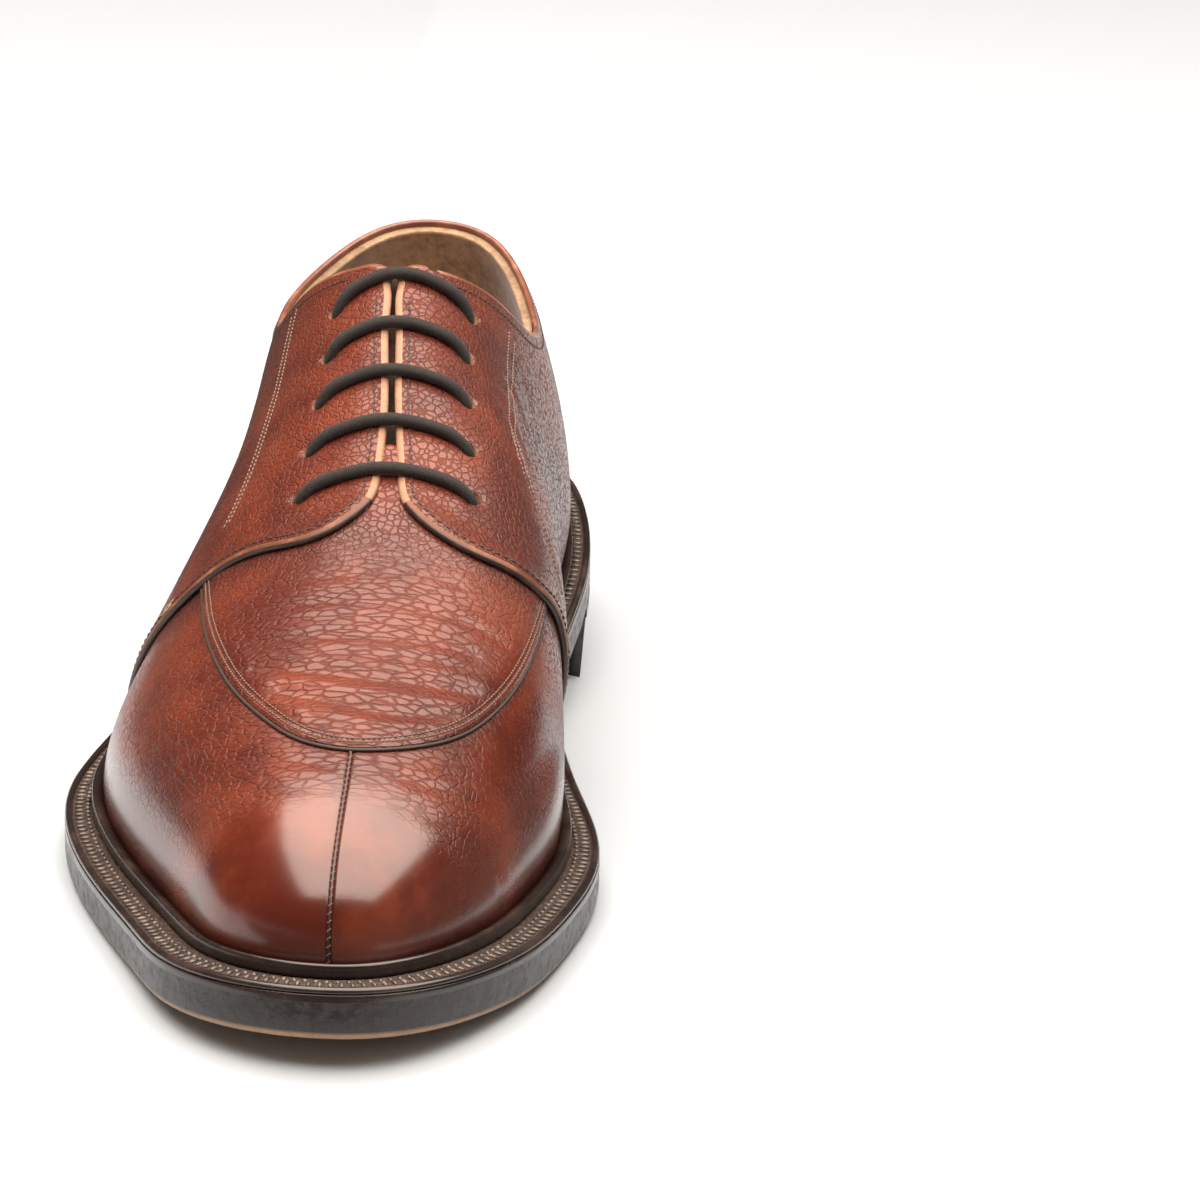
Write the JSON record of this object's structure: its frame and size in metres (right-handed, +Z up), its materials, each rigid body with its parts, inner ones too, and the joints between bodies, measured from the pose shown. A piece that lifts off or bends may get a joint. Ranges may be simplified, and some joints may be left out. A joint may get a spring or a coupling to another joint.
{
  "type": "split toe derby shoe",
  "caption": "Right split toe derby: hollow leather upper with raised apron and open-laced quarters, storm welt, double leather sole and stacked heel.",
  "frame": {"origin": "centre of the sole's outline, on the floor", "axes": "+Z up, the toe points to -Y and the heel to +Y, +X is the medial (big toe) side"},
  "size_m": [0.1192, 0.3098, 0.1165],
  "materials": {
    "upper_leather": "polished pebble grain, chestnut brown",
    "tongue_leather": "matt dark brown",
    "lining_leather": "matt natural tan",
    "welt_leather": "waxed dark brown with wheeled ticks",
    "sole_leather": "stained and burnished edge",
    "top_piece_rubber": "matt black",
    "lace_cotton": "round waxed cotton, dark brown"
  },
  "bodies": {
    "root": {"outsole": "sole_leather", "midsole": "sole_leather", "top_piece": "top_piece_rubber", "heel_lift_1": "sole_leather", "heel_lift_2": "sole_leather", "heel_lift_3": "sole_leather", "welt": "welt_leather", "insole": "lining_leather", "upper": "upper_leather", "tongue": "tongue_leather", "lace_bar_1": "lace_cotton", "lace_bar_2": "lace_cotton", "lace_bar_3": "lace_cotton", "lace_bar_4": "lace_cotton", "lace_bar_5": "lace_cotton"}
  },
  "joints": []
}
